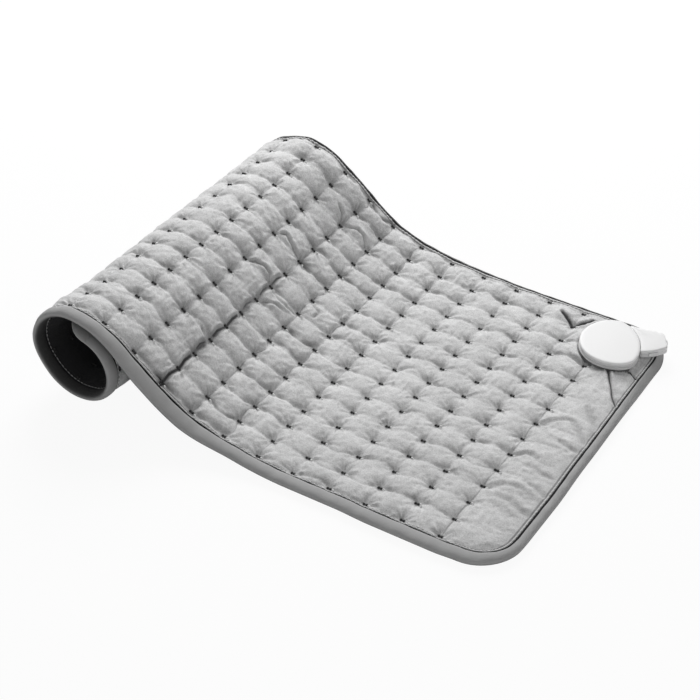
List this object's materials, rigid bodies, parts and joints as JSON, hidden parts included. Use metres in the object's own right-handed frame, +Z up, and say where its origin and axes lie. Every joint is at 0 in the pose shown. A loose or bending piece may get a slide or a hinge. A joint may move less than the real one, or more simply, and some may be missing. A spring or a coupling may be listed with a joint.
{
  "type": "heating pad",
  "caption": "Quilted heating pad of light grey plush with a grey taped edge, its far end rolled under, and a white disc connector with a pull-off plug at one corner.",
  "frame": {"origin": "middle of the footprint, on the surface that the pad lies on", "axes": "+X from the rolled end to the connector's end, +Y across the pad towards the connector's side, +Z up"},
  "size_m": [0.3944, 0.306, 0.0804],
  "materials": {
    "plush": "light grey microplush with short nap",
    "tape": "mid grey woven binding tape",
    "felt": "off-white needle felt",
    "silicone": "silicone wire insulation",
    "white_shell": "white moulded plastic, satin gloss",
    "plug_shell": "white moulded plastic, satin",
    "clamp": "moulded plastic",
    "board": "circuit board laminate",
    "contact": "plated contact",
    "steel": "zinc plated steel",
    "header": "black moulded plastic"
  },
  "bodies": {
    "pad": {"top_cover_flat": "plush", "bottom_cover_flat": "plush", "wire_carrier_felt_flat": "felt", "edge_binding_flat": "tape", "heating_wire_flat": "silicone", "connector_base": "white_shell", "connector_cap": "white_shell", "clamp_plate": "clamp", "base_screw_1": "steel", "base_screw_2": "steel", "base_screw_3": "steel", "base_screw_4": "steel", "circuit_board": "board", "pin_header": "header", "connector_pin_1": "contact", "connector_pin_2": "contact", "connector_pin_3": "contact", "thermal_fuse": "steel"},
    "rolled_end": {"top_cover_roll": "plush", "bottom_cover_roll": "plush", "wire_carrier_felt_roll": "felt", "edge_binding_roll": "tape", "heating_wire_roll": "silicone", "wire_end_splice": "header"},
    "plug": {"plug_upper_shell": "plug_shell", "plug_lower_shell": "plug_shell", "plug_contact_block": "header", "plug_contact_1": "contact", "plug_contact_2": "contact", "plug_contact_3": "contact", "plug_screw_1": "steel", "plug_screw_2": "steel"},
    "latch_left": {"latch_left": "plug_shell"},
    "latch_right": {"latch_right": "plug_shell"}
  },
  "joints": [
    {"name": "pad_fold", "type": "hinge", "parent": "pad", "child": "rolled_end", "pos_m": [0.0262, 0, 0.0074], "axis": [0, 1, 0], "range_deg": [0, 45]},
    {"name": "plug_pull", "type": "slide", "parent": "pad", "child": "plug", "axis": [0.8339, 0.5519, 0], "range_m": [0, 0.02]},
    {"name": "latch_left_press", "type": "slide", "parent": "plug", "child": "latch_left", "axis": [0.5519, -0.8339, 0], "range_m": [0, 0.001], "stiffness_N_per_m": 300},
    {"name": "latch_right_press", "type": "slide", "parent": "plug", "child": "latch_right", "axis": [-0.5519, 0.8339, 0], "range_m": [0, 0.001], "stiffness_N_per_m": 300}
  ]
}
